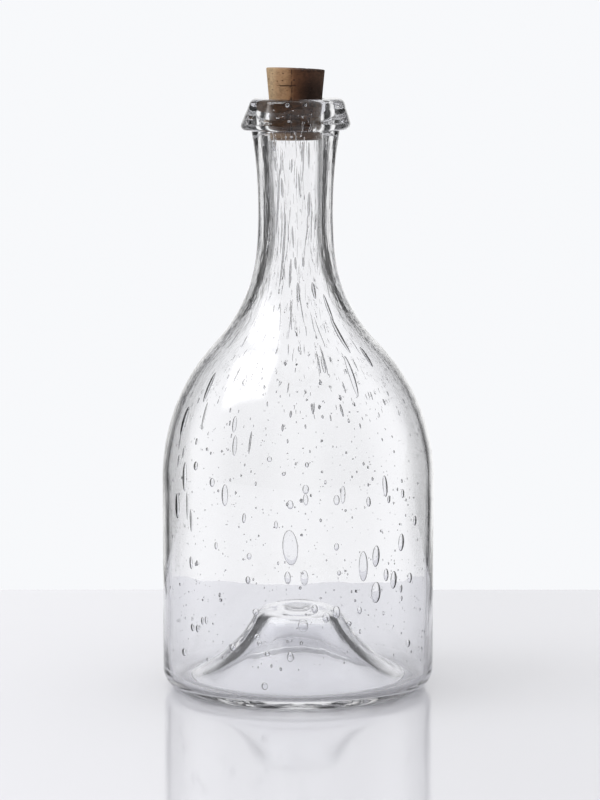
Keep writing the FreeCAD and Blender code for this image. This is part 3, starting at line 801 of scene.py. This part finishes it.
def makeBottle():
    inner = [0.0] * len(outside) + [1.0] * len(inside)
    sides = [(r, h, side) for (r, h), side in zip(outside + inside, inner)]
    skin = [(settled(r, h, side) / 1000, 0.0, h / 1000) for r, h, side in sides]
    start = pathMesh("outline", skin, inner=inner, waver=[waverAt(*spot) / 1000 for spot in sides])
    wall = pathMesh("wallLine", [(r / 1000, 0.0, h / 1000) for r, h in wallPath],
                    thick=[t / 1000 for t in wallThick])
    spots = bubbleSpots()
    made = grown("seeded_bottle", start, bottleTree(clearGlass()), {
        "Wall": wall, "Spots": spots, "Rings": len(skin), "Segments": bottle["segments"],
        "Seeds": bubbles["seeds"], "Fine seed": bubbles["fineSeed"], "Thickness": bubbles["thickness"],
        "Spread": bubbles["spread"], "Lean": bottle["lean"] / 1000, "Waver seed": bottle["seed"]})
    bpy.data.objects.remove(wall)
    bpy.data.objects.remove(spots)
    return made


seededBottle = makeBottle()
print("bottle:", len(seededBottle.data.polygons), "faces")


# The cork: squeezed in the bore, flaring above it, with a sloping, nibbled top. Millimetres.

cork = {
    "footHeight": 223.6, "lipHeight": 239.0, "top": 251.3,
    "footRadius": 10.45, "gripRadius": 10.65, "headRadius": 11.75,
    "slant": 2.2, "chamfer": 0.7, "gripRounding": 3.0, "topRounding": 0.35,
    "nibble": 0.00022, "bite": 0.00045, "crack": 0.00035, "crumbled": 0.0005,               # metres
    "wornFrom": 0.0105, "crackHeight": 0.2445, "crackLeft": -0.0075, "crackRight": -0.0004,  # metres
    "wetShadeFrom": 0.2393, "wetShadeFull": 0.2383, "dryFrom": 0.2274, "dryFull": 0.2262,             # metres
    "segments": 180, "seed": 4.0,
    # Across the front the bark darkens from left to right: partly wine stain, partly painted shade of light
    # from the left.
    "bark": [                                               # from left to right across the front
        (0.08, (0.54, 0.38, 0.225)), (0.20, (0.43, 0.265, 0.145)), (0.33, (0.36, 0.205, 0.105)),
        (0.40, (0.215, 0.105, 0.050)), (0.48, (0.125, 0.055, 0.026)), (0.60, (0.080, 0.034, 0.017)),
        (0.72, (0.052, 0.023, 0.013)), (0.92, (0.080, 0.040, 0.023)),
    ],
    # The colours inside the neck are darkened by the wet and by painted shade under the collar.
    "wetShadeDark": (0.014, 0.004, 0.001), "wetShadePale": (0.082, 0.036, 0.015), "wetShadeRight": (0.100, 0.062, 0.030),
    "dryLeft": (0.32, 0.205, 0.115), "dryRightStainShade": (0.105, 0.062, 0.036), "pit": (0.030, 0.013, 0.008),
    "relief": 0.7, "reliefDepth": 0.0004, "roughness": 0.86,
}
topEdge, topSlope = cork["headRadius"] / 1000, math.tan(math.radians(cork["slant"]))


def crackAt(x, z, width):
    # A split lies across the front of the part that stands out of the neck.
    left, right = (x - cork["crackLeft"]).rise(0.0, 0.0006), (cork["crackRight"] - x).rise(0.0, 0.0006)
    return abs(z - cork["crackHeight"] - x * 0.02).rise(width, width * 0.2) * left * right


def corkBark():
    material, net = newMaterial("naturalCork")
    place = net.add("ShaderNodeTexCoord", {}, {}, "Object")
    x, y, z = net.split(place)
    broad = net.noise(place, 190.0, 4.0, 0.6)
    grain = net.noise(net.point(x, y, z * 2.2), 900.0, 3.0, 0.65)
    front = (-y).rise(0.0, 0.003)
    # From pale bark on the left to the dark side on the right: partly wine stain, partly painted shade of
    # light coming from the left.
    uneven = net.noise(net.point(x, y, z * 0.6), 300.0, 3.0) - 0.5
    stainAndShade = (x + 0.0125 + uneven * 0.0045) / 0.024
    colour = net.add("ShaderNodeValToRGB", {"stops": cork["bark"]}, {"Fac": stainAndShade})
    shade = 0.74 + 0.34 * broad.rise(0.35, 0.65) + (grain - 0.5) * 1.1
    # Painted shade: the right side darkens lower down, towards the lip.
    low = z.rise(0.2500, 0.2410) * x.rise(-0.003, 0.003)
    colour = net.mix(shade * (1.0 - 0.52 * low), black, colour)
    # Squeezed and wet inside the neck, and darkened there by painted shade under the collar, with a drier
    # end.
    wetAndShaded = net.mix(grain.rise(0.35, 0.65), cork["wetShadeDark"], cork["wetShadePale"])
    wetAndShaded = net.mix(x.rise(0.0045, 0.0075) * 0.8, wetAndShaded, cork["wetShadeRight"])
    colour = net.mix(z.rise(cork["wetShadeFrom"], cork["wetShadeFull"]) * 0.94, colour, wetAndShaded)
    # The drier end is darker on the right: partly stain, partly painted shade of light from the left.
    dry = net.mix(x.rise(-0.006, 0.003), cork["dryLeft"], cork["dryRightStainShade"])
    colour = net.mix(z.rise(cork["dryFrom"], cork["dryFull"]) * (0.55 + 0.45 * grain), colour, dry)
    # Lenticels: short dark pits along the bark's layers, an upright line of them, and the nibbled rim.
    pits = net.cells(net.point(x, y, z * 1.6), 460.0)
    pit = pits.rise(0.26, 0.12) * net.noise(place, 150.0, 1.0).rise(0.46, 0.60)
    vein = abs(x + 0.0026 + uneven * 0.0012).rise(0.00042, 0.00012)
    vein = vein * net.noise(place, 620.0, 1.0).rise(0.42, 0.56)
    rim = (z - cork["top"] / 1000 + (x + topEdge) * topSlope).rise(-0.0009, -0.0004)
    nibbled = rim * x.rise(-0.001, 0.002) * net.noise(place, 1000.0, 1.0).rise(0.48, 0.56)
    lines = (crackAt(x, z, 0.00036) * front * 0.75).most(vein * front * 0.75)
    dark = (pit * 0.85).most(lines).most(nibbled * 0.9)
    colour = net.mix(dark, colour, cork["pit"])
    surface(net, Base_Color=colour, Roughness=cork["roughness"], Specular_IOR_Level=0.25,
            Normal=net.relief(grain * 0.5 - dark, cork["relief"], cork["reliefDepth"]))
    return material


def corkTree(material):
    tree, net, given = newTree("turnedCork", {
        "Rings": ("Int", 10), "Segments": ("Int", 96), "Slant": ("Float", 0.0), "Lip": ("Float", 0.239),
        "Lean": ("Float", 0.0), "Seed": ("Float", 0.0)})
    sheet, turn, onRing = turnedSheet(net, given)
    radius, _, height = net.split(onRing(net.add("GeometryNodeInputPosition"), "FLOAT_VECTOR"))
    x, y = radius * turn.sine(), -(radius * turn.cosine())
    # The cut top falls from -X to +X; what stands in the neck keeps its height.
    stand = (cork["top"] - cork["lipHeight"]) / 1000
    above = (height - given["Lip"]).most(0.0)
    cut = height - above / stand * (x + topEdge) * given["Slant"]
    spot = net.point(x, y, cut + given["Seed"])
    nibble = net.noise(spot, 1100.0, 2.0, 0.6).rise(0.60, 0.78) * cork["nibble"]
    bite = net.cells(spot, 330.0).rise(0.22, 0.05) * net.noise(spot, 120.0, 1.0).rise(0.50, 0.62)
    crack = crackAt(x, cut, 0.00026) * turn.cosine().rise(0.3, 0.5) * cork["crack"]
    shrink = (nibble + bite * cork["bite"] + crack) * (radius / cork["wornFrom"]).least(1.0)
    # The right half of the cut top has crumbled a little.
    onTop = above.rise(stand - 0.0005, stand) * (x + 0.002).rise(0.0, 0.004)
    crumbled = onTop * net.noise(spot, 700.0, 2.0).rise(0.50, 0.66) * cork["crumbled"]
    factor = 1.0 - shrink / radius.most(0.0005)
    place = net.point(x * factor - given["Lean"], y * factor, cut - crumbled)
    endTree(net, turnedSkin(net, sheet, place), material)
    return tree


def makeCork():
    c = cork
    corners = [
        (0.0, c["footHeight"], 0), (c["footRadius"], c["footHeight"], c["chamfer"]),
        (c["gripRadius"], c["lipHeight"], c["gripRounding"]),
        (c["headRadius"], c["top"], c["topRounding"]), (0.0, c["top"], 0),
    ]
    points = rounded(corners, 0.2)
    start = pathMesh("corkLine", [(r / 1000, 0.0, h / 1000) for r, h in points])
    return grown("turned_cork", start, corkTree(corkBark()), {
        "Rings": len(points), "Segments": c["segments"], "Slant": topSlope,
        "Lip": c["lipHeight"] / 1000, "Lean": bottle["lean"] / 1000, "Seed": c["seed"]})


turnedCork = makeCork()
print("cork:", len(turnedCork.data.polygons), "faces")

dressed = ((seededBottle, "glass_bottle", "seeded_glass"), (turnedCork, "cork_stopper", "natural_cork"))
for piece, node, slot in dressed:
    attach(piece, "root")
    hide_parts(node)
